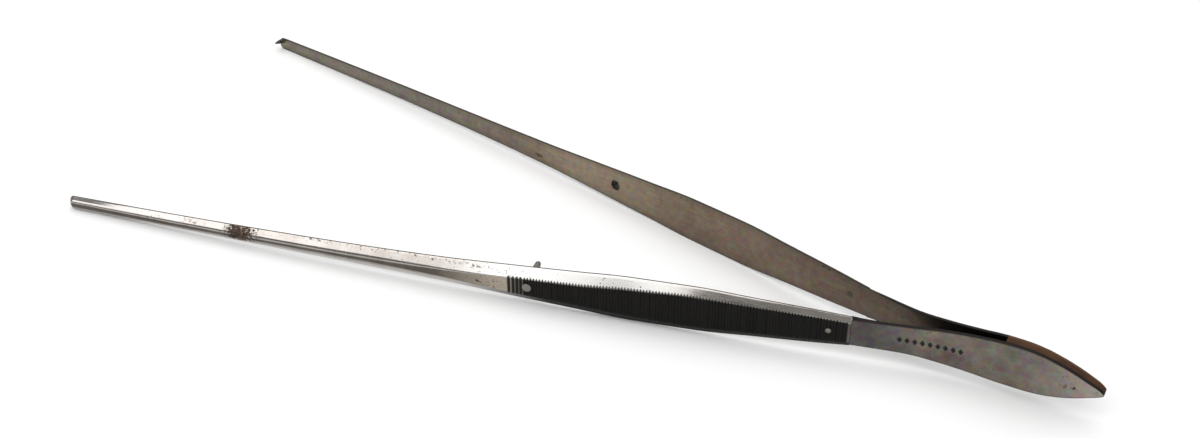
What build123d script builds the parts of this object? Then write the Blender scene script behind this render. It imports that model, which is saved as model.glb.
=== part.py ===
from build123d import *
from math import sin, cos, radians
import os

# Long toothed thumb forceps, standing on the lower edges of its two arms.
# All sizes are in millimetres. s runs along an arm's inner face from the butt (0) to the tip (LENGTH),
# n runs outward from that face and z upward from the arm's middle line.

# ---- driving dimensions ----
LENGTH = 250.0          # one arm, measured along its inner face
HALF_GAP_BUTT = 0.65    # half the thickness of the wedge at the butt
ANGLE_ROOT = 0.6        # degrees each leaf leans out over the wedge
ANGLE_BEND = 14.17      # degrees after the bend, where the blade starts
ANGLE_TIP = 9.06        # degrees at the tip: the blades bow inward a little
BEND_START, BEND_END = 26.5, 48.24
WEDGE_LENGTH = 22.4

LEAF_T = 0.85           # thickness of the spring leaf
SHOULDER = 56.2         # the thicker blade starts here
EDGE_LAND = 0.3         # narrow square edge left beside the inner face
NOSE = 1.4              # length of the rounded nose at the tip

# the leaf's side outline: s, half width, height of its middle (the pointed end droops a little)
LEAF = [(0.0, 0.3, -1.0), (1.2, 1.1, -0.8), (3.0, 1.85, -0.7), (6.0, 3.13, -0.62), (10.0, 4.45, -0.48), (14.0, 5.3, -0.28),
        (18.0, 5.62, -0.1), (22.0, 5.6, 0.0), (28.0, 5.2, 0.0), (36.0, 4.5, 0.0), (44.0, 3.8, 0.0),
        (49.0, 3.7, 0.0), (SHOULDER, 4.05, 0.0)]
# blade sections: s, full width, width of the outer flat, thickness
# (the cubic between two of them never overshoots)
BLADE = [(SHOULDER, 8.1, 5.4, 1.12), (66.0, 9.5, 6.5, 1.2), (78.0, 10.85, 7.4, 1.45), (92.0, 12.4, 8.3, 1.75),
         (106.0, 12.3, 7.45, 2.05), (120.0, 10.7, 5.4, 2.25), (135.0, 8.9, 4.25, 2.2), (152.0, 6.95, 2.35, 1.97),
         (172.0, 5.7, 1.65, 1.8), (195.0, 4.8, 1.45, 1.7), (222.0, 4.05, 1.7, 1.65), (LENGTH - NOSE, 3.4, 2.0, 1.6)]

GROOVE_FIRST, GROOVE_LAST = 57.2, 131.4
GROOVE_PITCH = 0.72
GROOVE_FRONT = [132.3, 133.2, 134.15, 135.2]   # the last grooves are set wider apart
GROOVE_W, GROOVE_D = 0.52, 0.26

PIN_S = 130.9           # guide pin and guide hole
PIN_R, PIN_OUT = 1.13, 8.0
PIN_TAPER, PIN_TIP_R = 7.0, 0.74
HOLE_R = 1.27
RIVET_S = 61.2          # rear rivet
RIVET_R, RIVET_DOME = 0.85, 0.15

TOOTH_L, TOOTH_T = 2.85, 1.5

FLEX = 38.0             # station of the hinge axis that stands in for the bending leaf
FLEX_GAP = 0.02


def station(s):
    """Point and direction of the far arm's inner face line: straight, bent outward, then bowed inward."""
    a0, a1, a2 = (radians(a) for a in (ANGLE_ROOT, ANGLE_BEND, ANGLE_TIP))
    x1, y1 = -BEND_START * cos(a0), HALF_GAP_BUTT + BEND_START * sin(a0)
    r1 = (BEND_END - BEND_START) / (a1 - a0)
    x2, y2 = x1 - r1 * (sin(a1) - sin(a0)), y1 + r1 * (cos(a0) - cos(a1))
    r2 = (LENGTH - BEND_END) / (a1 - a2)
    if s <= BEND_START:
        return -s * cos(a0), HALF_GAP_BUTT + s * sin(a0), a0
    if s <= BEND_END:
        a = a0 + (s - BEND_START) / r1
        return x1 - r1 * (sin(a) - sin(a0)), y1 + r1 * (cos(a0) - cos(a)), a
    a = a1 - (s - BEND_END) / r2
    return x2 - r2 * (sin(a1) - sin(a)), y2 + r2 * (cos(a) - cos(a1)), a


def at(s, n=0.0, z=0.0):
    """Point at arc length s, distance n outward from the inner face and height z."""
    x, y, a = station(s)
    return Vector(x + n * sin(a), y + n * cos(a), z)


def across(s, n=0.0, z=0.0):
    """Plane square to the arm: local x runs outward, local y runs up, the normal points to the butt."""
    a = station(s)[2]
    return Plane(at(s, n, z), x_dir=(sin(a), cos(a), 0), z_dir=(cos(a), -sin(a), 0))


def along_n(s, n, z=0.0):
    """Plane whose normal points outward from the arm at station s."""
    a = station(s)[2]
    return Plane(at(s, n, z), x_dir=(-cos(a), sin(a), 0), z_dir=(sin(a), cos(a), 0))


def leaf_strip(s0, s1, height=9.0):
    """The leaf seen from above between two stations, as a plate that still has its full height."""
    cuts = [s0] + [b for b in (BEND_START, BEND_END) if s0 < b < s1] + [s1]
    edges = []
    for n in (0.0, LEAF_T):
        for a, b in zip(cuts, cuts[1:]):
            straight = b <= BEND_START
            edges.append(Line(at(a, n), at(b, n)) if straight
                         else ThreePointArc(at(a, n), at((a + b) / 2, n), at(b, n)))
    edges += [Line(at(s, 0), at(s, LEAF_T)) for s in (s0, s1)]
    return extrude(make_face(edges), height, both=True)


def leaf_outline():
    """The leaf's spoon-shaped side outline, cut right through both leaves and the wedge."""
    top = [(station(s)[0], middle + half) for s, half, middle in LEAF]
    low = [(station(s)[0], middle - half) for s, half, middle in LEAF]
    end = top[-1][0] - 2.0
    edges = [Line(low[0], top[0]), Spline(*top), Spline(*low)]
    edges += [Polyline(top[-1], (end, top[-1][1]), (end, low[-1][1]), low[-1])]
    return extrude(Plane.XZ * make_face(edges), 30, both=True)


def blade_section(s, width, flat, thick):
    """Square-edged inner side, broad bevels above and below, and a narrower outer flat."""
    w, f = width / 2, flat / 2
    pts = [(0, -w), (EDGE_LAND, -w), (thick, -f), (thick, f), (EDGE_LAND, w), (0, w)]
    return across(s) * make_face(Polyline(*pts, close=True))


def section_at(s):
    """Width, outer flat and thickness at s: a cubic through the given sections that never overshoots."""
    rows = BLADE
    i = max(k for k in range(len(rows) - 1) if rows[k][0] <= s or k == 0)
    gap = [b[0] - a[0] for a, b in zip(rows, rows[1:])]

    def value(c):
        rise = [(b[c] - a[c]) / g for a, b, g in zip(rows, rows[1:], gap)]

        def slope(k):
            if k == 0 or k == len(rows) - 1:
                return rise[min(k, len(rise) - 1)]
            left, right = rise[k - 1], rise[k]
            return 0.0 if left * right <= 0 else 2 * left * right / (left + right)
        h, u = gap[i], (s - rows[i][0]) / gap[i]
        return ((2 * u**3 - 3 * u**2 + 1) * rows[i][c] + (u**3 - 2 * u**2 + u) * h * slope(i)
                + (3 * u**2 - 2 * u**3) * rows[i + 1][c] + (u**3 - u**2) * h * slope(i + 1))
    return [value(c) for c in (1, 2, 3)]


def thickness(s):
    return section_at(s)[2]


def blade():
    first, last = BLADE[0][0], BLADE[-1][0]
    steps = 26
    spots = [first + (last - first) * i / steps for i in range(steps + 1)]
    body = loft([blade_section(s, *section_at(s)) for s in spots])
    s, w, f, t = BLADE[-1]
    nose = loft([blade_section(s, w, f, t), blade_section(s + NOSE * 0.65, w * 0.93, f * 0.8, t * 0.8),
                 blade_section(LENGTH, w * 0.7, f * 0.45, t * 0.38)], ruled=True)
    return body + nose


def groove(s):
    """One V-shaped groove filed across the outer flat."""
    t = thickness(s)
    grow = 0.3
    half = GROOVE_W / 2 * (GROOVE_D + grow) / GROOVE_D
    tri = make_face(Polyline((-half, t + grow), (half, t + grow), (0, t - GROOVE_D), close=True))
    a = station(s)[2]
    spot = Plane(at(s), x_dir=(-cos(a), sin(a), 0), z_dir=(0, 0, -1))
    return extrude(spot * tri, 8, both=True)


def tooth(up):
    """A tooth on the inner face at the tip, on the upper (up = 1) or lower (up = -1) half."""
    root = Polyline((0.3, 0.06 * up), (0.3, 1.6 * up), (-0.4, 1.6 * up), (-TOOTH_L, 1.3 * up),
                    (-TOOTH_L, 1.0 * up), (-0.8, 0.06 * up), close=True)
    return extrude(across(LENGTH - 0.45) * make_face(root), TOOTH_T)


def arm(hole_r, up):
    """Everything of one arm in front of the hinge axis, drawn as the far arm."""
    rear = leaf_strip(FLEX, SHOULDER) + Plane(at(FLEX, LEAF_T / 2)) * Cylinder(LEAF_T / 2, 18)
    body = (rear & leaf_outline()) + blade() + tooth(up)
    count = round((GROOVE_LAST - GROOVE_FIRST) / GROOVE_PITCH)
    spots = [GROOVE_FIRST + GROOVE_PITCH * i for i in range(count + 1)] + GROOVE_FRONT
    body -= [groove(s) for s in spots]
    body -= along_n(PIN_S, 0) * Cylinder(hole_r, 12)
    body -= along_n(RIVET_S, 0) * Cylinder(RIVET_R, 12)
    return body


def leaf_root():
    """The rear of one leaf, brazed to the wedge, up to the hinge axis."""
    strip = leaf_strip(-1.0, FLEX) & leaf_outline()
    return strip - Plane(at(FLEX, LEAF_T / 2)) * Cylinder(LEAF_T / 2 + FLEX_GAP, 30)


def wedge():
    """The spacer between the leaves, flush with their edges."""
    far = [at(s) for s in (-1.0, WEDGE_LENGTH)]
    close = [(p.X, -p.Y) for p in far]
    return extrude(make_face(Polyline(*far, *reversed(close), close=True)), 9, both=True) & leaf_outline()


def guide_pin():
    """Riveted flush at the outer flat, with a tapered free end on the inner side, its rim rounded."""
    t = thickness(PIN_S)
    shank = t + PIN_OUT - PIN_TAPER
    low = (Align.CENTER, Align.CENTER, Align.MIN)
    pin = Pos(0, 0, -(PIN_OUT - PIN_TAPER)) * Cylinder(PIN_R, shank, align=low)
    pin += Pos(0, 0, -PIN_OUT) * Cone(PIN_TIP_R, PIN_R, PIN_TAPER, align=low)
    pin = fillet(pin.edges().sort_by(Axis.Z)[0], 0.45)
    return along_n(PIN_S, 0) * pin


def rear_rivet():
    """A through rivet, flush inside and standing a little proud outside, its rim rounded."""
    low = (Align.CENTER, Align.CENTER, Align.MIN)
    rivet = Cylinder(RIVET_R, thickness(RIVET_S) + RIVET_DOME, align=low)
    return along_n(RIVET_S, 0) * fillet(rivet.edges().sort_by(Axis.Z)[-1], RIVET_DOME)


def near(shape):
    return mirror(shape, about=Plane.XZ)


parts = {
    "butt_wedge": wedge(),
    "leaf_root_near": near(leaf_root()),
    "leaf_root_far": leaf_root(),
    "arm_near": near(arm(PIN_R, -1)),
    "arm_far": arm(HOLE_R, 1),
    "guide_pin": near(guide_pin()),
    "rear_rivet_near": near(rear_rivet()),
    "rear_rivet_far": rear_rivet(),
}

# the row frame: middle of the footprint, standing on z = 0
box = Compound(list(parts.values())).bounding_box()
shift = Location((-(box.min.X + box.max.X) / 2, -(box.min.Y + box.max.Y) / 2, -box.min.Z))
os.makedirs("parts", exist_ok=True)
for name, shape in parts.items():
    solid = shape.moved(shift)
    solid.label = name
    export_step(solid, f"parts/{name}.step")
    print(name, "solids", len(solid.solids()), "volume", round(solid.volume, 2), "valid", solid.is_valid)
print("box", box.min, box.max, "shift", shift.position)
for side in (1, -1):
    h = at(FLEX, LEAF_T / 2)
    print("hinge", round(h.X + shift.position.X, 4), round(side * h.Y + shift.position.Y, 4))
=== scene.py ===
# %% [markdown]
# # Long toothed thumb forceps in Blender
# Two spring-steel arms are joined at a spoon-shaped butt. Squeezing the ribbed grips brings two small
# teeth together at the tips. This file builds the looks around a packed mechanical frame: the frame says
# where each part is and how it moves, and every piece made here follows one of its bodies.

# %% Load the frame
import math
from types import SimpleNamespace

import bpy
import numpy as np
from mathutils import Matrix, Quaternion, Vector


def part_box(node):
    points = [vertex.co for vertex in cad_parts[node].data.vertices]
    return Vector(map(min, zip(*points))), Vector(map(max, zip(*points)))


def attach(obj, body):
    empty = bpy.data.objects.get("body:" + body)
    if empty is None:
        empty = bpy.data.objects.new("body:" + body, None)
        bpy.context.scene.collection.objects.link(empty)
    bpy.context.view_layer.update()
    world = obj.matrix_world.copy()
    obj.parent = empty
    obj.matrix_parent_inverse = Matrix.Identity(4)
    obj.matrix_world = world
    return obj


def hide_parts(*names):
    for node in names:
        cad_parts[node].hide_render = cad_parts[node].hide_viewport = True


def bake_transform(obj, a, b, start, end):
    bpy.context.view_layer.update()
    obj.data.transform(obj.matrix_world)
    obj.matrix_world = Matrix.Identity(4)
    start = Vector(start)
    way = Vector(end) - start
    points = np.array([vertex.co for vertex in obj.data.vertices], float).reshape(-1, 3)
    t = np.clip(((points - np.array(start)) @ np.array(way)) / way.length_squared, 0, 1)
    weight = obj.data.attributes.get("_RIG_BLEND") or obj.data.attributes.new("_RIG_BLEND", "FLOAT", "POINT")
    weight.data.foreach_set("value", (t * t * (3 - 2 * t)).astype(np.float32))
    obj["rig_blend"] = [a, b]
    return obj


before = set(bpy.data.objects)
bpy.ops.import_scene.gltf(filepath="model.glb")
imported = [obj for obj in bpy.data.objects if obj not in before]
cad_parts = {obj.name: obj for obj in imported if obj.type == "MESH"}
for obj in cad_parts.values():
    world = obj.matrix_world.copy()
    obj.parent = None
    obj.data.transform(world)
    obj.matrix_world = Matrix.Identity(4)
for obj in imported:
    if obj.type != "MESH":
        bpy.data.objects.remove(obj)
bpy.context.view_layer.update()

# %% [markdown]
# ## One ruler for the whole object
# Each arm is a long strip of steel that is bent only when seen from above. So its shape is described
# along the strip: s runs along the inner face from the butt to the tip, n points outward from that face,
# and z is up. A small formula then carries (s, n, z) into the room. Working along the strip makes ribs,
# holes and bevels as easy as on flat steel.

# %% The driving sizes, in millimetres and degrees
MM = 0.001
LENGTH = 250.0                        # one arm, along its inner face
HALF_GAP_BUTT = 0.65
ANGLE_ROOT, ANGLE_BEND, ANGLE_TIP = 0.6, 14.17, 9.06
BEND_START, BEND_END = 26.5, 48.24
LEAF_T, SHOULDER, NOSE = 0.85, 56.2, 1.4
WEDGE_LENGTH = 22.4
PIN_S, RIVET_S = 130.9, 61.2
PIN_R, HOLE_R, RIVET_R = 1.13, 1.27, 0.85

BUTT_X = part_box("butt_wedge")[1].x    # the butt's end, in metres
MIDDLE_Z = sum(corner.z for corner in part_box("guide_pin")) / 2
print("butt at x", round(BUTT_X / MM, 2), "mm, middle line at z", round(MIDDLE_Z / MM, 2), "mm")

# %% The path of an arm
def spine(s):
    """Inner face line of the far arm: straight over the wedge, one arc that bends outward, one long arc
    that bows in. On an arc the direction turns evenly, so a point is the arc's start plus radius times
    the change of sine, cosine."""
    a0, a1, a2 = np.radians([ANGLE_ROOT, ANGLE_BEND, ANGLE_TIP])
    r1 = (BEND_END - BEND_START) / (a1 - a0)
    r2 = (LENGTH - BEND_END) / (a1 - a2)
    x1, y1 = -BEND_START * np.cos(a0), HALF_GAP_BUTT + BEND_START * np.sin(a0)
    x2, y2 = x1 - r1 * (np.sin(a1) - np.sin(a0)), y1 + r1 * (np.cos(a0) - np.cos(a1))
    s = np.asarray(s, float)
    stretch = [s < BEND_START, s < BEND_END]
    angle = np.select(stretch, [np.full_like(s, a0), a0 + (s - BEND_START) / r1], a1 - (s - BEND_END) / r2)
    x = np.select(stretch, [-s * np.cos(a0), x1 - r1 * (np.sin(angle) - np.sin(a0))],
                  x2 - r2 * (np.sin(a1) - np.sin(angle)))
    y = np.select(stretch, [HALF_GAP_BUTT + s * np.sin(a0), y1 + r1 * (np.cos(a0) - np.cos(angle))],
                  y2 + r2 * (np.cos(angle) - np.cos(a1)))
    return x, y, angle


def room(s, n, z, side):
    """Points (s, n, z) of one arm, in millimetres, as points of the room in metres. side is 1 for the far
    arm."""
    x, y, angle = spine(s)
    px = BUTT_X + (x + n * np.sin(angle)) * MM
    py = side * (y + n * np.cos(angle)) * MM
    pz = MIDDLE_Z + np.asarray(z) * MM
    return np.stack(np.broadcast_arrays(px, py, pz), -1)


def through(knots, s):
    """A cubic through (s, value) knots that never overshoots: each slope is the harmonic mean of its
    neighbours."""
    k, v = np.array(knots, float).T
    rise = np.diff(v) / np.diff(k)
    before, after = rise[:-1], rise[1:]
    total = np.where(after + before == 0, 1, after + before)
    mean = np.where(after * before > 0, 2 * after * before / total, 0)
    slope = np.concatenate([rise[:1], mean, rise[-1:]])
    i = np.clip(np.searchsorted(k, s, "right") - 1, 0, len(k) - 2)
    h = k[i + 1] - k[i]
    u = np.clip((s - k[i]) / h, 0, 1)
    return ((2 * u**3 - 3 * u**2 + 1) * v[i] + (u**3 - 2 * u**2 + u) * h * slope[i]
            + (3 * u**2 - 2 * u**3) * v[i + 1] + (u**3 - u**2) * h * slope[i + 1])


print("tips are", round(2 * float(spine(LENGTH)[1]), 1), "mm apart")

# %% [markdown]
# ## The cross-section of an arm
# A blade is a flat inner face, a thin square edge, a broad bevel and a narrower outer flat. The leaf at
# the butt is only a flat strip, but it can use the same outline with the bevel shrunk to a hair. One
# formula for both means one closed mesh for the whole arm, with a crisp shoulder where the leaf meets the
# blade.

# %% Widths and thicknesses along an arm
NOSE_START = LENGTH - NOSE
LEAF_HALF = [(0.0, 0.3), (1.2, 1.1), (3.0, 1.85), (6.0, 3.13), (10.0, 4.45), (14.0, 5.3), (18.0, 5.62),
             (22.0, 5.6), (28.0, 5.2), (36.0, 4.5), (44.0, 3.8), (49.0, 3.7), (SHOULDER, 4.05)]
LEAF_MIDDLE = [(0.0, -1.0), (1.2, -0.8), (3.0, -0.7), (6.0, -0.62), (10.0, -0.48), (14.0, -0.28),
               (18.0, -0.1), (22.0, 0.0), (30.0, 0.0)]
BLADE_WIDTH = [(SHOULDER, 8.1), (66, 9.5), (78, 10.85), (92, 12.4), (106, 12.3), (120, 10.7), (135, 8.9),
               (152, 6.95), (172, 5.7), (195, 4.8), (222, 4.05), (NOSE_START, 3.4)]
BLADE_FLAT = [(SHOULDER, 5.4), (66, 6.5), (78, 7.4), (92, 8.3), (106, 7.45), (120, 5.4), (135, 4.25),
              (152, 2.35), (172, 1.65), (195, 1.45), (222, 1.7), (NOSE_START, 2.0)]
BLADE_THICK = [(SHOULDER, 1.12), (66, 1.2), (78, 1.45), (92, 1.75), (106, 2.05), (120, 2.25), (135, 2.2),
               (152, 1.97), (172, 1.8), (195, 1.7), (222, 1.65), (NOSE_START, 1.6)]
EDGE_LAND = 0.3                       # width of the square edge of a blade
HAIR = 0.07                           # the leaf's corners, broken by a hair
BUTT_ROUND, BUTT_THIN = 0.15, 5.0     # the lengths over which the butt's end is rounded and thinned
CORNER_FROM, CORNER_LENGTH = 46.0, 9.5  # where the leaf's outer corners start to be worn round


def section_sizes(s):
    """Half width, half outer flat, thickness and edge land at s. The nose and the butt thin towards their
    ends."""
    leaf = through(LEAF_HALF, np.minimum(s, SHOULDER))
    step = np.clip((s - SHOULDER) / 0.12, 0, 1)
    worn = np.clip((s - CORNER_FROM) / CORNER_LENGTH, 0, 1)**2
    w = np.where(s < SHOULDER, leaf, through(BLADE_WIDTH, s) / 2)
    f = (1 - step) * (w - HAIR - 0.5 * worn) + step * through(BLADE_FLAT, s) / 2
    t = (1 - step) * LEAF_T + step * through(BLADE_THICK, s)
    e = (1 - step) * (LEAF_T - HAIR - 0.8 * worn) + step * EDGE_LAND
    u = np.clip((s - NOSE_START) / NOSE, 0, 1)
    butt = np.clip(1 - s / BUTT_ROUND, 0, 1)
    thin = np.clip(1 - s / BUTT_THIN, 0, 1)
    w = w * (1 - 0.46 * u**3) - 0.12 * butt
    f = f * (1 - 0.5 * u**2) - 0.12 * butt
    t = t * (1 - 0.62 * u**2) * (1 - 0.35 * thin**2) - 0.06 * butt
    return w, f, t, np.minimum(e, 0.75 * t)


def rounded(p0, p1, p2, r, count):
    """A corner at p1 softened over the distance r: a quadratic curve between the two sides."""
    def toward(p):
        d = p - p1
        return p1 + d * (r / np.maximum(np.linalg.norm(d, axis=-1, keepdims=True), 1e-9))
    a, b = toward(p0), toward(p2)
    return [(1 - u)**2 * a + 2 * u * (1 - u) * p1 + u**2 * b for u in np.linspace(0, 1, count)]


INNER_LINES = [0.04, 0.16, 0.32, 0.48, 0.60, 0.72, 0.80, 0.92, 1.0]
BEVEL_LINES = [0.2, 0.42, 0.6, 0.72, 0.8, 0.87, 0.93]
FLAT_LINES = [0.93, 0.85, 0.6, 0.3, 0.245, 0.19, 0.135, 0.08, 0.035]
RIDGE = [(0.0, 0.09), (136.0, 0.09), (146.0, 0.2), (172.0, 0.5), (LENGTH, 0.55)]


def half_ring(s):
    """(n, z) of the upper half of each cross-section, from the inner middle line round to the outer one,
    and for each column which face it lies on: 0 inner, 1 square edge, 2 bevel, 3 outer flat; halves are
    softened arrises."""
    w, f, t, e = section_sizes(s)
    zero = np.zeros_like(w)
    p = [np.stack(q, -1) for q in ((zero, zero), (zero, w), (e, w), (t, f), (t, zero))]
    r, r_edge = 0.1, 0.07
    columns, faces = [], []
    for k in [0.0] + INNER_LINES[:-1]:
        columns.append(np.stack([zero, (w - r) * k], -1))
        faces.append(0.0)
    columns += rounded(p[0], p[1], p[2], r, 5)
    faces += [0.0, 0.5, 0.5, 0.5, 1.0]
    edge = rounded(p[1], p[2], p[3], r_edge, 4)
    r_ridge = np.minimum(through(RIDGE, s), 0.8 * f)[:, None]
    flat = rounded(p[2], p[3], p[4], r_ridge, 6)
    columns += edge
    faces += [1.0, 1.5, 1.5, 2.0]
    columns += [edge[-1] + (flat[0] - edge[-1]) * k for k in BEVEL_LINES]
    faces += [2.0] * len(BEVEL_LINES)
    columns += flat
    faces += [2.0, 2.5, 2.5, 2.5, 2.5, 3.0]
    for k in FLAT_LINES + [0.0]:
        columns.append(np.stack([t, flat[-1][:, 1] * k], -1))
        faces.append(3.0)
    return np.stack(columns, 1), np.array(faces)


test_ring, test_faces = half_ring(np.array([10.0, 92.0, 200.0]))
print("points round half a section", test_ring.shape[1])

# %% [markdown]
# ## Ribs, teeth and a row of punched lozenges
# The grip was filed by hand, one V-groove after another, so neither the spacing nor the depth is quite
# even. Real grooves are cut into the mesh here, because a bump would leave the outline of the bevel
# straight, while real grooves end in small points on it. Stations are placed on every groove's walls, so
# that the V stays sharp.

# %% Where the grooves are
rng = np.random.default_rng(11)
GROOVE_PITCH, GROOVE_WIDTH, GROOVE_DEPTH = 0.72, 0.52, 0.26
GRIP_START, GRIP_END = 57.2, 131.5
WIDE_GROOVES, WIDE_WIDTH = [132.3, 133.2, 134.15, 135.2], 0.8
fine = np.arange(GRIP_START, GRIP_END, GROOVE_PITCH)
fine = fine + rng.normal(0, 0.018, fine.size)
GROOVES = np.concatenate([fine, WIDE_GROOVES])
DEPTHS = GROOVE_DEPTH * rng.uniform(0.86, 1.08, GROOVES.size)
WIDTHS = np.where(GROOVES > GRIP_END, WIDE_WIDTH, GROOVE_WIDTH)
print(GROOVES.size, "grooves on each arm")


def groove_cut(s):
    """How deep the nearest groove goes at s: a V that is full depth at its line and nothing at half its
    width away."""
    i = np.clip(np.searchsorted(GROOVES, s), 1, GROOVES.size - 1)
    i = np.where(np.abs(s - GROOVES[i - 1]) < np.abs(s - GROOVES[i]), i - 1, i)
    away = np.abs(s - GROOVES[i]) / (WIDTHS[i] / 2)
    return DEPTHS[i] * np.clip(1 - away, 0, 1) - np.where(away >= 1, 1.0, 0.0)


def stations():
    """All the places along the arm where a cross-section is needed, closer together where the shape
    changes fast. At a groove they lie at shares of its width, from just outside its walls to its line."""
    shares = np.array([-0.635, -0.508, -0.381, -0.1905, 0.0, 0.1905, 0.381, 0.508])
    near_grooves = (GROOVES[:, None] + WIDTHS[:, None] * shares[None, :]).ravel()
    step = SHOULDER + np.array([-0.2, -0.06, 0.0, 0.03, 0.06, 0.1, 0.16, 0.3, 0.5])
    leaf = [[0.0, 0.05, 0.1, 0.15, 0.4], np.arange(0.8, 30.0, 0.8), np.arange(30.0, 46.5, 0.17),
            np.arange(47.0, 55.9, 0.9)]
    blade = [[135.7, 136.2], np.arange(137.0, 247.0, 1.25), np.arange(247.4, 249.95, 0.085), [249.97, LENGTH]]
    s = np.unique(np.round(np.concatenate(leaf + [step, near_grooves] + blade), 4))
    closest = 0.012
    return s[np.concatenate([[True], np.diff(s) > closest])]


S = stations()
print(S.size, "stations along each arm")

# %% Teeth and lozenges as height fields
TOOTH_LENGTH, TOOTH_FROM = 2.85, 247.5
TOOTH_ALONG = (248.45, 249.7, 248.95, 249.4)  # where its walls start and end at the root, and at the point
TOOTH_HIGH = (0.3, 1.62, 1.08, 1.3)
LOZENGES = np.arange(31.6, 45.5, 1.72)
LOZENGE_HALF_LENGTH, LOZENGE_HALF_HEIGHT, LOZENGE_DEPTH = 0.62, 0.86, 0.16


def tooth_height(s, z, up):
    """How far the inner face stands inward at the tip: a four-sided spike whose walls lean from its root
    to its point."""
    def ramp(v, root0, root1, point0, point1):
        return np.minimum((v - root0) / (point0 - root0), (root1 - v) / (root1 - point1))
    spike = np.minimum(ramp(s, *TOOTH_ALONG), ramp(z * up, *TOOTH_HIGH))
    return TOOTH_LENGTH * np.clip(spike, 0, 1)


def lozenge_depth(s, z):
    """A row of punched lozenges on the leaf: deepest along the middle, zero where |s| / length + |z| /
    height is 1."""
    away = np.min(np.abs(s[..., None] - LOZENGES), -1)
    floor_at = 0.42
    return np.clip(1.0 - away / LOZENGE_HALF_LENGTH - np.abs(z) / LOZENGE_HALF_HEIGHT, 0, floor_at) / floor_at


print(LOZENGES.size, "punched lozenges")

# %% [markdown]
# ## Building one arm as a single closed skin
# The upper half ring is mirrored to give the whole ring, rings are joined from butt to tip, and both ends
# are closed with a fan. The rest-position ruler (s, n, z) is stored with every point: the finishes read
# it, so rust, ribs and scratches stay on the steel when the spring bends.

# %% The skin of an arm
def skin_faces(rows, columns):
    """Quads between neighbouring rings of a closed tube, and a fan at each end to its own middle
    point."""
    i = np.arange(rows - 1)[:, None] * columns
    j = np.arange(columns)[None, :]
    nxt = (j + 1) % columns
    quads = np.stack([i + j, i + nxt, i + columns + nxt, i + columns + j], -1).reshape(-1, 4)
    ring = np.arange(columns)
    last = (rows - 1) * columns
    first_fan = np.stack([ring, np.full(columns, rows * columns), (ring + 1) % columns], -1)
    last_fan = np.stack([last + ring, last + (ring + 1) % columns, np.full(columns, rows * columns + 1)], -1)
    return quads, np.concatenate([first_fan, last_fan])


def fill_mesh(mesh, points, quads, triangles):
    """Writes points and faces into a mesh as whole arrays."""
    counts = np.concatenate([np.full(len(quads), 4), np.full(len(triangles), 3)])
    corners = np.concatenate([quads.ravel(), triangles.ravel()]).astype(np.int32)
    mesh.vertices.add(len(points))
    mesh.vertices.foreach_set("co", points.astype(np.float32).ravel())
    mesh.loops.add(len(corners))
    mesh.loops.foreach_set("vertex_index", corners)
    mesh.polygons.add(len(counts))
    mesh.polygons.foreach_set("loop_start", np.concatenate([[0], np.cumsum(counts)[:-1]]).astype(np.int32))
    mesh.update(calc_edges=True)
    mesh.validate()


def store(mesh, name, kind, values):
    """Keeps a value for each point under a name that a material can read."""
    attribute = mesh.attributes.new(name, kind, "POINT")
    key = "vector" if kind == "FLOAT_VECTOR" else "value"
    attribute.data.foreach_set(key, np.ascontiguousarray(values, np.float32).ravel())


def worked(s, n, z, face, thick, side, punched):
    """The forged outline after the file and the punch: ribs and lozenges go in, the tooth stands out of the
    inner face. The other two answers say where steel was filed away and where it was struck."""
    grooved = np.minimum(n, thick - groove_cut(S)[:, None])
    filed = np.clip((n - grooved) / GROOVE_DEPTH, 0, 1)
    inner = (face < 0.4)[None, :] & (S > TOOTH_FROM)[:, None]
    n = np.where(inner, -tooth_height(s, z, side), grooved)
    on_leaf = (face > 2.9)[None, :] & (S < SHOULDER)[:, None] & punched
    struck = np.where(on_leaf, lozenge_depth(s, z), 0.0)
    return n - LOZENGE_DEPTH * struck, filed, struck


print("filed at most", round(float(DEPTHS.max()), 2), "mm deep, struck", LOZENGE_DEPTH, "mm")

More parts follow.
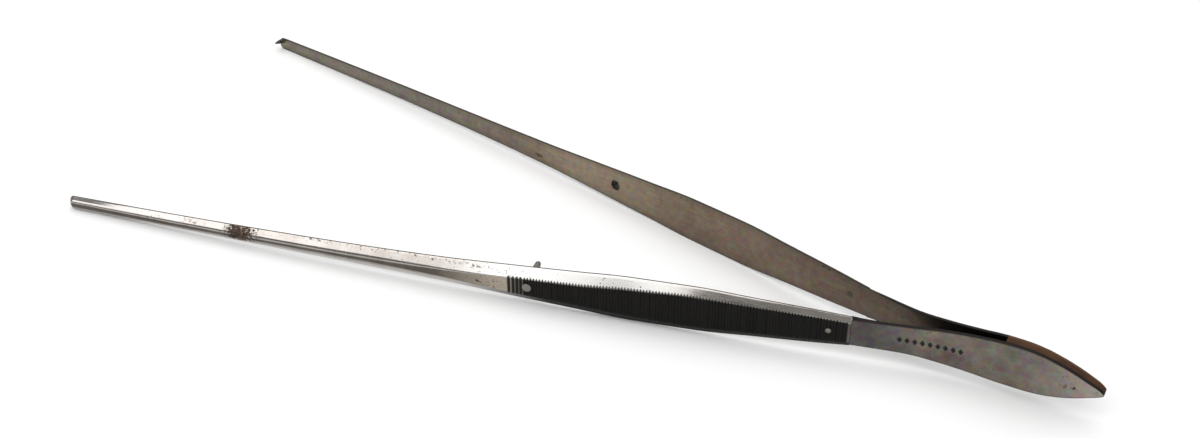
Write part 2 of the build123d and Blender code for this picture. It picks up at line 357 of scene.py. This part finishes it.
# %% The whole arm
def arm_skin(name, side, punched):
    """Leaf and blade as one closed mesh, with its ruler and its wear stored on it."""
    half, faces = half_ring(S)
    lower = half[:, -2:0:-1] * np.array([1.0, -1.0])
    ring = np.concatenate([half, lower], 1)
    face = np.concatenate([faces, faces[-2:0:-1]])
    n, z = ring[..., 0], ring[..., 1]
    s = np.repeat(S[:, None], n.shape[1], 1)
    width, _, thick, _ = (size[:, None] for size in section_sizes(S))
    n, filed, struck = worked(s, n, z, face, thick, side, punched)
    arris = np.repeat((np.mod(face, 1.0) > 0.4)[None, :].astype(float), len(S), 0)
    rows, columns = n.shape
    middle = through(LEAF_MIDDLE, S)[:, None]
    points = room(s, n, z + middle, side).reshape(-1, 3)
    ends = [(S[0], thick[0, 0] / 2, middle[0, 0]), (S[-1], thick[-1, 0] / 2, 0.0)]
    points = np.concatenate([points] + [room(*end, side).reshape(1, 3) for end in ends])
    quads, triangles = skin_faces(rows, columns)
    if side < 0:
        quads, triangles = quads[:, ::-1], triangles[:, ::-1]
    mesh = bpy.data.meshes.new(name)
    fill_mesh(mesh, points, quads, triangles)
    mesh.polygons.foreach_set("use_smooth", np.ones(len(mesh.polygons), bool))

    def with_ends(values, end_values):
        return np.concatenate([values.reshape(-1), np.asarray(end_values, float)])
    ruler = np.stack([with_ends(s, [S[0], S[-1]]), with_ends(n, [0.4, 0.3]), with_ends(z, [0, 0])], -1)
    store(mesh, "ruler", "FLOAT_VECTOR", ruler)
    store(mesh, "face", "FLOAT", with_ends(np.repeat(face[None, :], rows, 0), [1, 1]))
    store(mesh, "filed", "FLOAT", with_ends(filed, [0, 0]))
    store(mesh, "struck", "FLOAT", with_ends(struck, [0, 0]))
    store(mesh, "arris", "FLOAT", with_ends(arris, [0, 0]))
    store(mesh, "rim", "FLOAT", with_ends(width - np.abs(z), [0, 0]))
    mesh.set_sharp_from_angle(angle=math.radians(50))
    piece = bpy.data.objects.new(name, mesh)
    bpy.context.scene.collection.objects.link(piece)
    print(name, len(mesh.vertices), "points", sum(len(q.vertices) - 2 for q in mesh.polygons), "triangles")
    return piece


arm_near = arm_skin("arm_near_steel", -1, True)
arm_far = arm_skin("arm_far_steel", 1, False)

# %% [markdown]
# ## The guide hole
# The far arm has a drilled hole that takes the guide pin when the arms close. Drilling is a boolean
# difference with a round bar, done once and kept as plain mesh.

# %% Round bars and other turned shapes
def turned(name, s, side, profile, segments=40):
    """A piece turned on a lathe: (distance outward, radius) pairs, each carried round a circle square to
    the arm."""
    out, radius = np.array(profile, float).T
    angle = np.linspace(0, 2 * np.pi, segments, endpoint=False)
    along = radius[:, None] * np.cos(angle)
    z = radius[:, None] * np.sin(angle)
    x, y, lean = (float(v) for v in spine(s))
    px = BUTT_X + (x + out[:, None] * np.sin(lean) - along * np.cos(lean)) * MM
    py = side * (y + out[:, None] * np.cos(lean) + along * np.sin(lean)) * MM
    pz = np.broadcast_to(MIDDLE_Z + z * MM, px.shape)
    points = np.stack([px, py, pz], -1).reshape(-1, 3)
    caps = [[BUTT_X + (x + o * np.sin(lean)) * MM, side * (y + o * np.cos(lean)) * MM, MIDDLE_Z]
            for o in (out[0], out[-1])]
    quads, triangles = skin_faces(len(out), segments)
    if side < 0:
        quads, triangles = quads[:, ::-1], triangles[:, ::-1]
    mesh = bpy.data.meshes.new(name)
    fill_mesh(mesh, np.concatenate([points, caps]), quads, triangles)
    mesh.polygons.foreach_set("use_smooth", np.ones(len(mesh.polygons), bool))
    store(mesh, "turn", "FLOAT", np.concatenate([np.repeat(radius / radius.max(), segments), [0, 0]]))
    piece = bpy.data.objects.new(name, mesh)
    bpy.context.scene.collection.objects.link(piece)
    return piece


def subtract(piece, tool):
    """Takes the tool's volume out of the piece and keeps the result as a plain mesh."""
    step = piece.modifiers.new("cut", "BOOLEAN")
    step.operation, step.solver, step.object = "DIFFERENCE", "EXACT", tool
    graph = bpy.context.evaluated_depsgraph_get()
    cut = bpy.data.meshes.new_from_object(piece.evaluated_get(graph))
    piece.modifiers.clear()
    piece.data = cut
    bpy.data.objects.remove(tool)


def mark_bore(piece, s, side, radius):
    """Finds the wall that the drill left: faces whose middle lies nearer to the drill's axis than its
    radius."""
    x, y, lean = (float(v) for v in spine(s))
    mesh = piece.data
    middles = np.empty(3 * len(mesh.polygons))
    mesh.polygons.foreach_get("center", middles)
    away = middles.reshape(-1, 3) - np.array([BUTT_X + x * MM, side * y * MM, MIDDLE_Z])
    along = away[:, 1] * side * np.sin(lean) - away[:, 0] * np.cos(lean)
    wall = np.hypot(along, away[:, 2]) < radius * MM
    mesh.polygons.foreach_set("material_index", wall.astype(np.int32))
    mesh.set_sharp_from_angle(angle=math.radians(50))
    return int(wall.sum())


subtract(arm_far, turned("drill", PIN_S, 1, [(-2.0, HOLE_R), (6.0, HOLE_R)], 56))
bore_faces = mark_bore(arm_far, PIN_S, 1, HOLE_R)
print("arm_far_steel after drilling", len(arm_far.data.vertices), "points,", bore_faces, "faces in the bore")

# %% [markdown]
# ## Pin and rivets
# The guide pin is riveted into the near arm: a disc filed flush among the ribs outside, and inside a
# short pin with a tapered, rounded end. The two rear rivets are the same on both arms, slightly domed
# from being hammered over. Each of the three is a lathe shape, so a profile turned round a circle is all
# it needs.

# %% Turn the pin and the rivets
def thickness(s):
    """How thick an arm is at one place."""
    return float(section_sizes(np.array([s]))[2][0])


pin_top = thickness(PIN_S)
PIN_OUT = 8.0                         # how far the pin stands inward from the arm
pin_profile = [(-PIN_OUT, 0.05), (-7.98, 0.2), (-7.92, 0.36), (-7.8, 0.5), (-7.62, 0.62), (-7.35, 0.71),
               (-7.0, 0.765), (-6.0, 0.83), (-3.0, 0.98), (-0.06, 1.12), (0.1, PIN_R), (pin_top - 0.1, PIN_R),
               (pin_top, PIN_R), (pin_top + 0.035, 1.1), (pin_top + 0.05, 1.02), (pin_top + 0.06, 0.8),
               (pin_top + 0.065, 0.3), (pin_top + 0.065, 0.05)]
guide_pin = turned("guide_pin_steel", PIN_S, -1, pin_profile)
rivet_top = thickness(RIVET_S)
rivet_profile = [(-0.01, 0.05), (-0.01, 0.5), (-0.01, 0.78), (0.0, 0.84), (0.1, RIVET_R),
                 (rivet_top - 0.25, RIVET_R), (rivet_top - 0.05, RIVET_R), (rivet_top + 0.03, 0.82),
                 (rivet_top + 0.08, 0.72), (rivet_top + 0.12, 0.5), (rivet_top + 0.14, 0.2),
                 (rivet_top + 0.14, 0.05)]
rivets = {side: turned(f"rear_rivet_{word}_steel", RIVET_S, side, rivet_profile)
          for side, word in ((-1, "near"), (1, "far"))}
print("pin stands", PIN_OUT, "mm inward, rivets", round(rivet_top, 2), "mm long")

# %% [markdown]
# ## Finishes
# The steel is old: polished once, now a dull grey-brown on the inner faces, brighter on the bevels that
# are rubbed in use, almost black in the ribs, and dotted with pits and a little rust. A shader group
# makes the parts that every metal here shares: cloudy staining, fine lengthwise scratches and pits. Each
# material keeps its own shader.

# %% Short words for node trees
class Wires:
    """A node tree with short words for the nodes used most. A value may be a number, a colour or another
    node's output."""

    def __init__(self, tree):
        self.tree = tree

    def add(self, kind, links=None, **settings):
        """A node with its settings and its inputs."""
        node = self.tree.nodes.new(kind)
        for key, value in settings.items():
            setattr(node, key, value)
        for key, value in (links or {}).items():
            if isinstance(value, bpy.types.NodeSocket):
                self.tree.links.new(value, node.inputs[key])
            elif isinstance(value, tuple) and len(node.inputs[key].default_value) == 4:
                node.inputs[key].default_value = (*value, 1.0)
            else:
                node.inputs[key].default_value = value
        return node

    def read(self, name, output="Fac"):
        """A value that was stored on the mesh."""
        return self.add("ShaderNodeAttribute", attribute_name=name).outputs[output]

    def noise(self, vector, scale, detail, roughness):
        values = {"Vector": vector, "Scale": scale, "Detail": detail, "Roughness": roughness}
        return self.add("ShaderNodeTexNoise", values)

    def scaled(self, vector, factors, shift=(0.0, 0.0, 0.0)):
        """A vector times factors, plus a shift."""
        return self.add("ShaderNodeVectorMath", {0: vector, 1: factors, 2: shift},
                        operation="MULTIPLY_ADD").outputs[0]

    def math(self, operation, a, b):
        return self.add("ShaderNodeMath", {0: a, 1: b}, operation=operation).outputs[0]

    def times(self, a, b):
        return self.math("MULTIPLY", a, b)

    def plus(self, a, b):
        return self.math("ADD", a, b)

    def minus(self, a, b):
        return self.math("SUBTRACT", a, b)

    def fade(self, value, low, high, out_low=0.0, out_high=1.0):
        """A value stretched from low..high to out_low..out_high, and held at the ends."""
        links = {0: value, 1: low, 2: high, 3: out_low, 4: out_high}
        return self.add("ShaderNodeMapRange", links, clamp=True).outputs[0]

    def between(self, value, low, up, down, high):
        """One from up to down, and nothing outside low..high."""
        return self.times(self.fade(value, low, up), self.fade(value, down, high, 1.0, 0.0))

    def blend(self, factor, a, b, how="MIX"):
        """Two colours mixed by a factor."""
        return self.add("ShaderNodeMix", {0: factor, 6: a, 7: b}, data_type="RGBA", blend_type=how).outputs[2]

    def bump(self, height, strength, shader):
        """Fine relief, a twentieth of a millimetre high."""
        node = self.add("ShaderNodeBump", {"Height": height, "Strength": strength, "Distance": 0.00005})
        self.tree.links.new(node.outputs["Normal"], shader.inputs["Normal"])


def new_finish(name):
    """A material, its wires and its own shader."""
    material = bpy.data.materials.new(name)
    material.use_nodes = True
    return material, Wires(material.node_tree), material.node_tree.nodes["Principled BSDF"]


print("words for nodes:", [word for word in vars(Wires) if not word.startswith("_")])

# %% The shared group: staining, scratches and pits
def old_steel_group():
    """Coordinates in millimetres go in; cloudy stains, scratches, pits and a temper tint come out."""
    group = bpy.data.node_groups.new("old_steel", "ShaderNodeTree")
    group.interface.new_socket("Ruler", in_out="INPUT", socket_type="NodeSocketVector")
    pit_size = group.interface.new_socket("Pit size", in_out="INPUT", socket_type="NodeSocketFloat")
    pit_size.default_value = 0.9
    for name, kind in (("Stain", "Float"), ("Scratch", "Float"), ("Pits", "Float"), ("Tint", "Color")):
        group.interface.new_socket(name, in_out="OUTPUT", socket_type="NodeSocket" + kind)
    w = Wires(group)
    given = w.add("NodeGroupInput")
    place = given.outputs["Ruler"]
    cloud = w.noise(place, 0.16, 5.0, 0.6).outputs["Fac"]
    scratch = w.noise(w.scaled(place, (0.07, 5.5, 5.5)), 1.0, 4.0, 0.65).outputs["Fac"]
    spot = w.add("ShaderNodeTexVoronoi", {"Vector": place, "Scale": given.outputs["Pit size"]})
    pits = w.fade(spot.outputs["Distance"], 0.07, 0.18, 1.0, 0.0)
    some = w.fade(w.noise(place, 0.23, 2.0, 0.5).outputs["Fac"], 0.5, 0.62)
    tint = w.noise(place, 0.62, 4.0, 0.65).outputs["Color"]
    tint = w.scaled(tint, (2.4, 2.4, 2.4), (-0.7, -0.7, -0.7))
    w.add("NodeGroupOutput", {"Stain": w.fade(cloud, 0.3, 0.7), "Scratch": scratch,
                              "Pits": w.times(pits, some), "Tint": tint})
    return group


OLD_STEEL = old_steel_group()
print("group old_steel gives", [s.name for s in OLD_STEEL.interface.items_tree if s.in_out == "OUTPUT"])

# %% [markdown]
# The arms' own material reads the stored ruler and masks: which face a point is on, how deep it lies in a
# groove or a punch mark, and whether it is on a worn arris. Colours are chosen face by face and then
# mottled by the shared group. Every place is a length along the arm, s, in millimetres from the butt.

# %% What the steel of an arm knows about its own place
def arm_masks(w):
    """The stored values, the shared group's and the masks made from them, under short names."""
    m = SimpleNamespace(ruler=w.read("ruler", "Vector"))
    split = w.add("ShaderNodeSeparateXYZ", {0: m.ruler})
    m.s, m.n, m.z = split.outputs["X"], split.outputs["Y"], split.outputs["Z"]
    m.face, m.arris, m.rim = w.read("face"), w.read("arris"), w.read("rim")
    steel = w.add("ShaderNodeGroup", {"Ruler": m.ruler}, node_tree=OLD_STEEL)
    m.stain, m.scratch = steel.outputs["Stain"], steel.outputs["Scratch"]
    m.pits, m.tint = steel.outputs["Pits"], steel.outputs["Tint"]
    m.on_edge = w.fade(m.face, 0.4, 0.6)
    m.on_bevel = w.fade(m.face, 1.6, 2.0)
    m.on_flat = w.fade(m.face, 2.4, 2.9)
    m.on_blade = w.fade(m.s, SHOULDER - 0.05, SHOULDER + 0.1)
    m.in_cut = w.fade(w.math("MAXIMUM", w.read("filed"), w.read("struck")), 0.02, 0.3)
    # Painted shade: shaded marks the lower side of the grip's bevel, up to about s = 150, whose colour is
    # darkened for the shadowed floor it would mirror.
    below = w.fade(m.z, -0.6, -0.2, 1.0, 0.0)
    m.shaded = w.times(below, w.fade(m.s, 126.0, 150.0, 1.0, 0.0))
    return m


print("an arm's skin stores", [a.name for a in arm_near.data.attributes if not a.name.startswith(".")])

# %% Inner faces, leaves and edges
RIM_DARK, DULL = (0.03, 0.027, 0.023), (0.03, 0.027, 0.025)


def inner_colour(w, m):
    """Brown-grey and never polished: greyer where the blade is slim, paler just past the guide hole, painted
    nearly black as shade beside the wedge and in the gap between the leaves, dark along the rims and on the
    tooth."""
    colour = w.blend(m.stain, (0.215, 0.166, 0.122), (0.16, 0.12, 0.088))
    slim = w.blend(m.stain, (0.22, 0.195, 0.157), (0.168, 0.147, 0.12))
    colour = w.blend(w.fade(m.s, 150.0, 185.0), colour, slim)
    colour = w.blend(w.between(m.s, 108.0, 138.0, 146.0, 162.0), colour, (0.27, 0.215, 0.155))
    colour = w.blend(w.fade(m.s, 60.0, 90.0, 0.3, 0.0), colour, (0.105, 0.082, 0.07))
    colour = w.blend(w.fade(m.s, 205.0, 222.0, 0.0, 0.25), colour, (0.30, 0.26, 0.21))
    # Painted shade: nearly black up to s = 37 and fading out by s = 52, for the deep shade in the gap between
    # the leaves.
    colour = w.blend(w.fade(m.s, 37.0, 52.0, 0.8, 0.0), colour, (0.02, 0.018, 0.016))
    colour = w.blend(0.3, colour, m.tint, "SOFT_LIGHT")
    colour = w.blend(w.fade(m.rim, 0.2, 1.8, 0.4, 0.0), colour, (0.085, 0.08, 0.066))
    # The inner faces darken close to their rims.
    colour = w.blend(w.fade(m.rim, 0.12, 0.34, 0.75, 0.0), colour, RIM_DARK)
    return w.blend(w.fade(m.n, -0.9, -0.25, 0.6, 0.0), colour, (0.04, 0.038, 0.035))


def leaf_colour(w, m):
    """The outside of the leaf: handled bright at the butt, dark towards the shoulder and along its rims."""
    colour = w.blend(m.stain, (0.20, 0.175, 0.148), (0.11, 0.093, 0.082))
    colour = w.blend(w.fade(m.s, 3.0, 18.0, 0.7, 0.0), colour, (0.33, 0.30, 0.265))
    colour = w.blend(w.fade(m.s, 38.0, 52.0, 0.0, 0.7), colour, (0.062, 0.062, 0.062))
    colour = w.blend(0.3, colour, m.tint, "SOFT_LIGHT")
    return w.blend(w.fade(m.rim, 0.12, 0.4, 0.7, 0.0), colour, DULL)


def edge_colour(w, m, brown_edge):
    """The square edges: nearly black on the leaf, dark on the blade as painted shade that keeps the upward
    edges dark under the window behind, or stained brown by the wedge as far as it reaches.
    """
    # Painted shade: the blade's edge colour is kept dark so that the thin upward edges stay dark although
    # they would mirror the window behind.
    colour = w.blend(m.on_blade, (0.016, 0.014, 0.013), (0.045, 0.04, 0.034))
    beside = w.fade(m.s, WEDGE_LENGTH - 0.2, WEDGE_LENGTH + 0.3, 1.0, 0.0)
    return w.blend(w.times(beside, brown_edge), colour, (0.10, 0.052, 0.028))


# RIM_DARK darkens the inner faces along their rims and DULL the leaves' rims.
print("dirt is", RIM_DARK, "inside and", DULL, "on the leaves")

# %% Bevels and outer flats
GRIP_BLACK, CUT_BLACK, RUBBED = (0.013, 0.012, 0.011), (0.008, 0.0075, 0.007), (0.42, 0.40, 0.37)


def bevel_colour(w, m):
    """Polished by the hand and by the cloth: warm near the shoulder, clean at the tip, and painted dark on
    the lower side of the grip as shade, where the bevel would mirror the floor under the blade."""
    colour = w.blend(m.stain, (0.475, 0.455, 0.43), (0.355, 0.318, 0.292))
    colour = w.blend(w.between(m.s, 92.0, 100.0, 140.0, 152.0), colour, (0.47, 0.46, 0.445))
    colour = w.blend(w.fade(m.s, 66.0, 78.0, 0.7, 0.0), colour, (0.66, 0.61, 0.55))
    colour = w.blend(w.fade(m.s, 205.0, 225.0, 0.0, 0.4), colour, (0.56, 0.53, 0.52))
    # Painted shade: the lower bevel of the grip is near black where it would mirror the shadowed floor under
    # the blade.
    return w.blend(m.shaded, colour, (0.014, 0.013, 0.012))


def flat_colour(w, m):
    """The outer flat in front of the grip, brightest just past the last rib."""
    colour = w.blend(m.stain, (0.12, 0.107, 0.09), (0.08, 0.071, 0.06))
    return w.blend(w.between(m.s, 134.0, 136.0, 139.0, 153.0), colour, (0.36, 0.315, 0.257))


def grip_and_streaks(w, m, colour):
    """Lengthwise polish streaks, the blackened grip and its cuts, and the upper ridge rubbed bright."""
    streak = w.blend(m.on_bevel, w.fade(m.scratch, 0.35, 0.65, 0.80, 1.12),
                     w.fade(m.scratch, 0.35, 0.65, 0.93, 1.04))
    streaked = w.blend(1.0, colour, streak, "MULTIPLY")
    colour = w.blend(w.fade(m.s, SHOULDER - 4.0, SHOULDER, 0.25, 1.0), colour, streaked)
    grip = w.times(w.between(m.s, 56.8, 57.0, 131.6, 131.8), w.fade(m.face, 2.2, 2.6))
    colour = w.blend(grip, colour, GRIP_BLACK)
    colour = w.blend(m.in_cut, colour, CUT_BLACK)
    ridge = w.times(w.times(m.arris, w.fade(m.face, 1.9, 2.1)), w.fade(m.z, -0.3, 0.3))
    along = w.times(ridge, w.between(m.s, 56.5, 58.0, 150.0, 165.0))
    return w.blend(w.times(along, w.fade(m.scratch, 0.35, 0.6, 0.0, 0.5)), colour, RUBBED)


print("the grip is", GRIP_BLACK, "its cuts", CUT_BLACK, "and its rubbed ridge", RUBBED)

# %% [markdown]
# Rust grows from a few places and frays at its border. So each patch is a soft ball in the stored ruler,
# stretched along the strip, and a coarse noise is added before the sum is cut off sharply. Pits are left
# to the shared group.

# %% Rust, gloss, and the arms' whole finish
def rust_on(w, m, rusty, patches):
    """How rusty a point is, and the rust's own colour there. Each patch has a place, a tightness along s, n
    and z, and a strength."""
    grain = w.noise(m.ruler, 1.3, 6.0, 0.75).outputs["Fac"]
    rusted = 0.0
    for place, tightness, strength in patches:
        away = w.add("ShaderNodeVectorMath", {0: m.ruler, 1: place}, operation="SUBTRACT").outputs[0]
        away = w.add("ShaderNodeVectorMath", {0: w.scaled(away, tightness)}, operation="LENGTH")
        rusted = w.plus(rusted, w.fade(away.outputs["Value"], 0.3, 1.2, strength, 0.0))
    rust = w.times(w.fade(w.plus(rusted, grain), 0.66, 0.76), rusty)
    return rust, w.blend(w.fade(grain, 0.36, 0.54), (0.12, 0.068, 0.04), (0.026, 0.015, 0.010))


def arm_gloss(w, m, rust, shader):
    """Roughness, metal and relief: bevels are the smoothest; rust and the painted shade on the grip's lower
    bevel are dull and hide the metal.
    """
    # The painted shade on the lower bevel is also made rougher and less metallic, so that it mirrors less.
    shaded_lower_bevel = w.times(w.times(m.shaded, m.on_bevel), w.minus(1.0, m.on_flat))
    rough = w.fade(m.on_bevel, 0.0, 1.0, 0.34, 0.12)
    rough = w.plus(w.times(rough, w.minus(1.0, m.on_flat)), w.times(m.on_flat, 0.28))
    rough = w.plus(rough, w.fade(m.scratch, 0.3, 0.7, -0.03, 0.06))
    for mask, more in ((rust, 0.35), (m.in_cut, 0.25), (shaded_lower_bevel, 0.6)):
        rough = w.plus(rough, w.times(mask, more))
    w.tree.links.new(rough, shader.inputs["Roughness"])
    metal = w.fade(w.math("MAXIMUM", rust, m.in_cut), 0.0, 1.0, 1.0, 0.5)
    w.tree.links.new(w.minus(metal, w.times(shaded_lower_bevel, 0.4)), shader.inputs["Metallic"])
    w.bump(w.minus(w.minus(w.times(m.scratch, 0.18), m.pits), w.times(rust, 0.6)), 0.2, shader)


def arm_steel(name, rusty, brown_edge, patches):
    """Old spring steel. rusty says how strong the rust is, and brown_edge how much the wedge has stained the
    leaf's edge beside it."""
    material, w, shader = new_finish(name)
    m = arm_masks(w)
    colour = w.blend(m.on_edge, inner_colour(w, m), edge_colour(w, m, brown_edge))
    colour = w.blend(w.times(m.on_bevel, m.on_blade), colour, bevel_colour(w, m))
    outside = w.blend(m.on_blade, leaf_colour(w, m), flat_colour(w, m))
    colour = grip_and_streaks(w, m, w.blend(m.on_flat, colour, outside))
    rust, rust_colour = rust_on(w, m, rusty, patches)
    colour = w.blend(rust, colour, rust_colour)
    colour = w.blend(w.times(m.pits, 0.9), colour, (0.04, 0.028, 0.02))
    w.tree.links.new(colour, shader.inputs["Base Color"])
    arm_gloss(w, m, rust, shader)
    print(name, "has", len(w.tree.nodes), "nodes and", len(patches), "patches of rust")
    return material


# %% Steel of the pins, and the brown wedge
def plain_steel(name, light, dark, roughness, ring=(2.0, 3.0)):
    """Old steel on a small piece: the shared group on the piece's own place, in millimetres. ring says
    where, as a share of the radius, the dirt at a turned piece's rim starts and is full."""
    material, w, shader = new_finish(name)
    ruler = w.scaled(w.add("ShaderNodeTexCoord").outputs["Object"], (1000.0, 1000.0, 1000.0))
    steel = w.add("ShaderNodeGroup", {"Ruler": ruler, "Pit size": 2.0}, node_tree=OLD_STEEL)
    colour = w.blend(steel.outputs["Stain"], light, dark)
    colour = w.blend(w.times(steel.outputs["Pits"], 0.7), colour, (0.04, 0.03, 0.02))
    colour = w.blend(w.fade(w.read("turn"), *ring), colour, (0.02, 0.018, 0.016))
    w.tree.links.new(colour, shader.inputs["Base Color"])
    rough = w.fade(steel.outputs["Scratch"], 0.3, 0.7, roughness, roughness + 0.15)
    w.tree.links.new(rough, shader.inputs["Roughness"])
    shader.inputs["Metallic"].default_value = 1.0
    w.bump(steel.outputs["Scratch"], 0.3, shader)
    return material


pin_steel = plain_steel("pin_steel_worn", (0.26, 0.243, 0.218), (0.16, 0.14, 0.12), 0.3, (0.93, 0.99))
rivet_steel = plain_steel("rivet_steel_worn", (0.25, 0.235, 0.21), (0.12, 0.105, 0.09), 0.3, (0.62, 0.86))
pin_dark = plain_steel("pin_steel_dark", (0.13, 0.105, 0.085), (0.08, 0.065, 0.05), 0.42)
wedge_brown = plain_steel("wedge_brown", (0.10, 0.047, 0.024), (0.05, 0.028, 0.018), 0.42)
# Painted shade: the wall of the drilled bore is near black for the shade inside the hole.
bore_painted_shade = plain_steel("bore_painted_shade", (0.014, 0.012, 0.01), (0.006, 0.005, 0.005), 0.5)
print("small pieces' finishes", [m.name for m in (pin_steel, rivet_steel, pin_dark, wedge_brown, bore_painted_shade)])

# %% Where the rust is, and which piece wears what
NEAR_RUST = [((203.3, 1.0, 0.9), (0.18, 0.3, 0.3), 0.34), ((227.0, 1.0, 0.4), (0.2, 0.3, 0.6), 0.14),
             ((217.0, 1.0, 1.2), (0.2, 0.3, 0.8), 0.14), ((148.0, 0.6, 3.0), (0.035, 0.3, 1.2), 0.13),
             ((184.0, 0.4, 2.4), (0.05, 0.3, 1.4), 0.13), ((141.0, 2.0, 0.0), (0.1, 0.3, 0.5), 0.14),
             ((8.7, 1.9, -0.6), (0.9, 0.3, 0.9), 0.24), ((6.3, 1.9, -0.5), (0.9, 0.3, 0.9), 0.24),
             ((1.6, 1.9, 0.2), (0.9, 0.3, 0.9), 0.2)]
FAR_RUST = [((156.0, 0.0, -1.3), (0.6, 0.3, 1.2), 0.3), ((235.0, 0.0, 0.2), (0.12, 0.3, 0.6), 0.14),
            ((107.0, 0.0, 5.2), (0.06, 0.3, 1.3), 0.16), ((68.0, 0.0, 4.1), (0.3, 0.3, 1.3), 0.2),
            ((182.0, 0.0, 0.8), (0.1, 0.3, 0.8), 0.12), ((48.0, 0.0, 1.0), (0.1, 0.3, 0.6), 0.14)]
arm_near.data.materials.clear()
arm_near.data.materials.append(arm_steel("blade_steel_near", 1.0, 0.0, NEAR_RUST))
arm_far.data.materials.clear()
arm_far.data.materials.append(arm_steel("blade_steel_far", 0.8, 1.0, FAR_RUST))
arm_far.data.materials.append(bore_painted_shade)
for piece, finish in ((guide_pin, pin_steel), (rivets[-1], rivet_steel), (rivets[1], pin_dark)):
    piece.data.materials.append(finish)
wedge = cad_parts["butt_wedge"]
wedge.data.materials.clear()
wedge.data.materials.append(wedge_brown)
print("materials", sorted(m.name for m in bpy.data.materials))

# %% [markdown]
# ## Tie the pieces to the moving frame
# The frame has a hinge where the real leaf bends. The skin of each arm is one piece of steel that crosses
# it, so it is blended: it follows the butt behind the wedge's end, the arm in front of the bend, and
# curves smoothly in between.

# %% Blend the arms, ride the rest
BLEND_FROM, BLEND_TO = 29.5, 46.5
for piece, body, side, nodes in ((arm_near, "near_arm", -1, ("arm_near", "leaf_root_near")),
                                 (arm_far, "far_arm", 1, ("arm_far", "leaf_root_far"))):
    start, end = (room(s, 0.4, 0.0, side) for s in (BLEND_FROM, BLEND_TO))
    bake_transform(piece, "butt", body, start=tuple(start), end=tuple(end))
    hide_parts(*nodes)
for piece, body, node in ((guide_pin, "near_arm", "guide_pin"), (rivets[-1], "near_arm", "rear_rivet_near"),
                          (rivets[1], "far_arm", "rear_rivet_far")):
    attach(piece, body)
    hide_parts(node)

# %% [markdown]
# ## Floor, light and camera
# Metal shows what surrounds it. The panel in front hangs lower at its left end, and the bevels mirror it.
# The broad window behind is the strongest light and lays soft shadows towards the viewer, and the small
# ceiling panel fills them. The upright faces mirror the pale floor. The forceps rests on its tips and on
# the widest part of its blades, so the floor is tilted a little to touch both.

# %% Floor and world
def plain(name, colour, roughness):
    """A finish of one colour, for the stage."""
    material, _, shader = new_finish(name)
    shader.inputs["Base Color"].default_value = (*colour, 1.0)
    shader.inputs["Roughness"].default_value = roughness
    return material


def resting_line(side):
    """The forceps rests on its tips and on the widest part of its blades, with the butt a little off the
    floor: the steepest of the straight lines from the tip's lowest point to the points of the lower edge
    touches nothing else."""
    s = np.append(np.linspace(SHOULDER, LENGTH - 6, 400), NOSE_START)
    edge = room(s, 0.0, -section_sizes(s)[0], side)
    tip = edge[-1]
    slope = ((tip[2] - edge[:-1, 2]) / (edge[:-1, 0] - tip[0])).max()
    return float(slope), tip


slope, tip = resting_line(-1)
floor_mesh = bpy.data.meshes.new("floor")
REACH = 4.0                           # the floor's half size, in metres
corners = [(x, y, float(tip[2] - slope * (x - tip[0])))
           for x, y in ((-REACH, -REACH), (REACH, -REACH), (REACH, REACH), (-REACH, REACH))]
floor_mesh.from_pydata(corners, [], [(0, 1, 2, 3)])
print("the floor slopes", round(math.degrees(math.atan(slope)), 2), "degrees against the forceps")
floor = bpy.data.objects.new("floor", floor_mesh)
floor_mesh.materials.append(plain("paper_white", (0.86, 0.86, 0.86), 0.9))
bpy.context.scene.collection.objects.link(floor)
world = bpy.data.worlds.new("room")
bpy.context.scene.world = world
world.use_nodes = True
sky = world.node_tree.nodes["Background"]
sky.inputs["Color"].default_value = (1.0, 1.0, 1.0, 1.0)
sky.inputs["Strength"].default_value = 0.29
print("world strength", round(sky.inputs["Strength"].default_value, 2))


# %% Lights
def direction(azimuth, elevation):
    """The way from the object towards an azimuth and an elevation in degrees. Azimuth 0 is -Y, 90 is
    +X."""
    a, e = math.radians(azimuth), math.radians(elevation)
    return Vector((math.sin(a) * math.cos(e), -math.cos(a) * math.cos(e), math.sin(e)))


def panel(name, azimuth, elevation, distance, width, height, power, roll=0.0):
    """A soft rectangular light that faces the object. roll turns it in its own plane, so that its left
    end hangs lower."""
    place = direction(azimuth, elevation) * distance
    light = bpy.data.lights.new(name, "AREA")
    light.shape, light.size, light.size_y, light.energy = "RECTANGLE", width, height, power
    lamp = bpy.data.objects.new(name, light)
    lamp.location = place
    turn = Quaternion((0, 0, 1), math.radians(roll))
    lamp.rotation_euler = (place.to_track_quat("Z", "Y") @ turn).to_euler()
    bpy.context.scene.collection.objects.link(lamp)


panel("front_panel", -3, 52, 1.1, 1.9, 0.8, 10.0, 12)
panel("window", 185, 55, 1.3, 3.0, 1.9, 13.5)
panel("ceiling", 230, 84, 1.3, 1.5, 1.5, 6.0)
print("lights", sorted(light.name for light in bpy.data.lights))

# %% Camera
cam = bpy.data.cameras.new("camera")
cam.sensor_width, cam.lens, cam.clip_start = 36.0, 52.77, 0.01
camera = bpy.data.objects.new("camera", cam)
target = Vector((BUTT_X - 0.12533, 0.00761, MIDDLE_Z))
back = direction(26.84, 35.17)
camera.location = target + back * 0.42856
camera.rotation_euler = back.to_track_quat("Z", "Y").to_euler()
bpy.context.scene.collection.objects.link(camera)
bpy.context.scene.camera = camera
bpy.context.scene.view_settings.view_transform = "Standard"
print("camera at", [round(v, 3) for v in camera.location])
